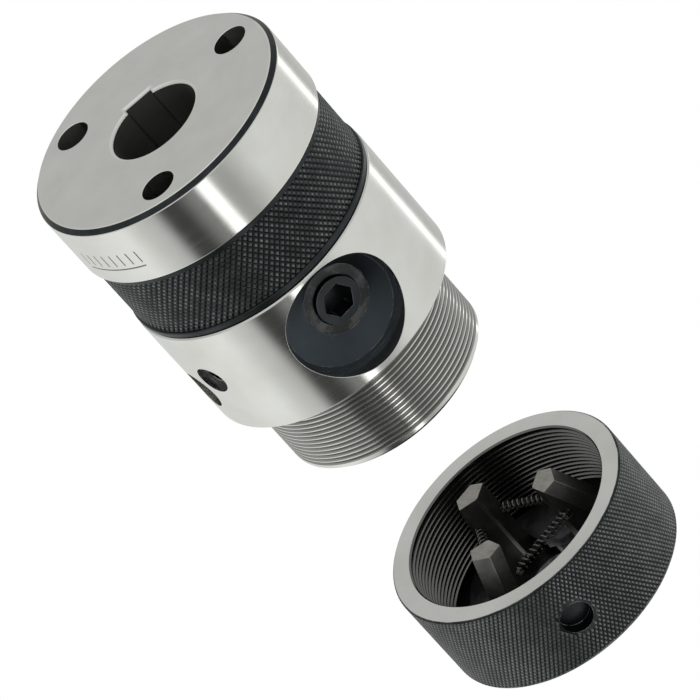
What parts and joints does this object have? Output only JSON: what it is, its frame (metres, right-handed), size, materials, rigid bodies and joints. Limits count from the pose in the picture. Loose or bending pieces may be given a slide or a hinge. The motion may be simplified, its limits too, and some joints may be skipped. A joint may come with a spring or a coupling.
{
  "type": "drill chuck",
  "caption": "Key-operated drill chuck with a bored and keyed drive flange, knurled ring, windowed body with bevel pinion, and a screw-on nose cap carrying wedge jaws, shown drawn off.",
  "frame": {"origin": "centre of the mounting face, on the axis of the spindle bore", "axes": "+Z along the chuck axis towards the machine spindle, nose pointing to -Z; the key window faces -Y; right-handed"},
  "size_m": [0.0738, 0.0738, 0.1884],
  "materials": {
    "ground_steel": "ground",
    "black_knurl": "black oxide, knurled",
    "black_oxide": "black oxide, satin",
    "bright_steel": "polished",
    "brass_cage": "satin",
    "dark_steel": "hardened, oiled",
    "spring_steel": "drawn",
    "jaw_steel": "ground"
  },
  "bodies": {
    "housing": {"drive_flange": "ground_steel", "knurled_ring": "black_knurl", "chuck_body": "ground_steel", "flange_screws": "black_oxide", "dowel_pins": "bright_steel", "guide_screw": "black_oxide", "pinion_bush": "black_oxide", "pinion_snap_ring": "black_oxide", "thrust_washer_upper": "bright_steel"},
    "pinion": {"drive_pinion": "black_oxide"},
    "crown": {"crown_nut": "bright_steel", "thrust_washer_lower": "bright_steel"},
    "bearing": {"bearing_cage": "brass_cage", "thrust_balls": "bright_steel"},
    "sleeve": {"closing_sleeve": "dark_steel"},
    "carrier": {"jaw_guide": "black_oxide", "guide_snap_ring": "spring_steel", "jaw_spring_1": "spring_steel", "jaw_spring_2": "spring_steel", "jaw_spring_3": "spring_steel"},
    "cap": {"nose_cap": "black_knurl"},
    "jaw_1": {"jaw_1": "jaw_steel"},
    "jaw_2": {"jaw_2": "jaw_steel"},
    "jaw_3": {"jaw_3": "jaw_steel"}
  },
  "joints": [
    {"name": "sleeve_travel", "type": "slide", "parent": "housing", "child": "sleeve", "axis": [0, 0, -1], "range_m": [0, 0.019]},
    {"name": "pinion_turn", "type": "hinge", "parent": "housing", "child": "pinion", "pos_m": [0, 0, -0.0592], "axis": [-0.0698, 0.9976, 0], "range_deg": [0, 5130]},
    {"name": "crown_turn", "type": "hinge", "parent": "housing", "child": "crown", "pos_m": [0, 0, -0.05], "axis": [0, 0, 1], "range_deg": [0, 1710]},
    {"name": "cage_turn", "type": "hinge", "parent": "housing", "child": "bearing", "pos_m": [0, 0, -0.04445], "axis": [0, 0, 1], "range_deg": [0, 855]},
    {"name": "cap_turn", "type": "hinge", "parent": "carrier", "child": "cap", "pos_m": [0, 0, -0.18], "axis": [0, 0, 1], "range_deg": [0, 19536]},
    {"name": "cap_travel", "type": "slide", "parent": "housing", "child": "carrier", "axis": [0, 0, 1], "range_m": [0, 0.0814]},
    {"name": "jaw_1_travel", "type": "slide", "parent": "carrier", "child": "jaw_1", "axis": [0.1478, -0.989, 0], "range_m": [0, 0.00886], "deforming": ["jaw_spring_1"]},
    {"name": "jaw_2_travel", "type": "slide", "parent": "carrier", "child": "jaw_2", "axis": [0.7826, 0.6225, 0], "range_m": [0, 0.00886], "deforming": ["jaw_spring_2"]},
    {"name": "jaw_3_travel", "type": "slide", "parent": "carrier", "child": "jaw_3", "axis": [-0.9304, 0.3665, 0], "range_m": [0, 0.00886], "deforming": ["jaw_spring_3"]}
  ],
  "couplings": [
    {"joint": "pinion_turn", "follows": "sleeve_travel", "rad_per_m": 4712.4},
    {"joint": "crown_turn", "follows": "sleeve_travel", "rad_per_m": 1570.8},
    {"joint": "cage_turn", "follows": "sleeve_travel", "rad_per_m": 785.4},
    {"joint": "cap_travel", "follows": "cap_turn", "m_per_rad": 0.00023873},
    {"joint": "jaw_1_travel", "follows": "sleeve_travel", "ratio": 0.46632},
    {"joint": "jaw_2_travel", "follows": "sleeve_travel", "ratio": 0.46632},
    {"joint": "jaw_3_travel", "follows": "sleeve_travel", "ratio": 0.46632}
  ]
}
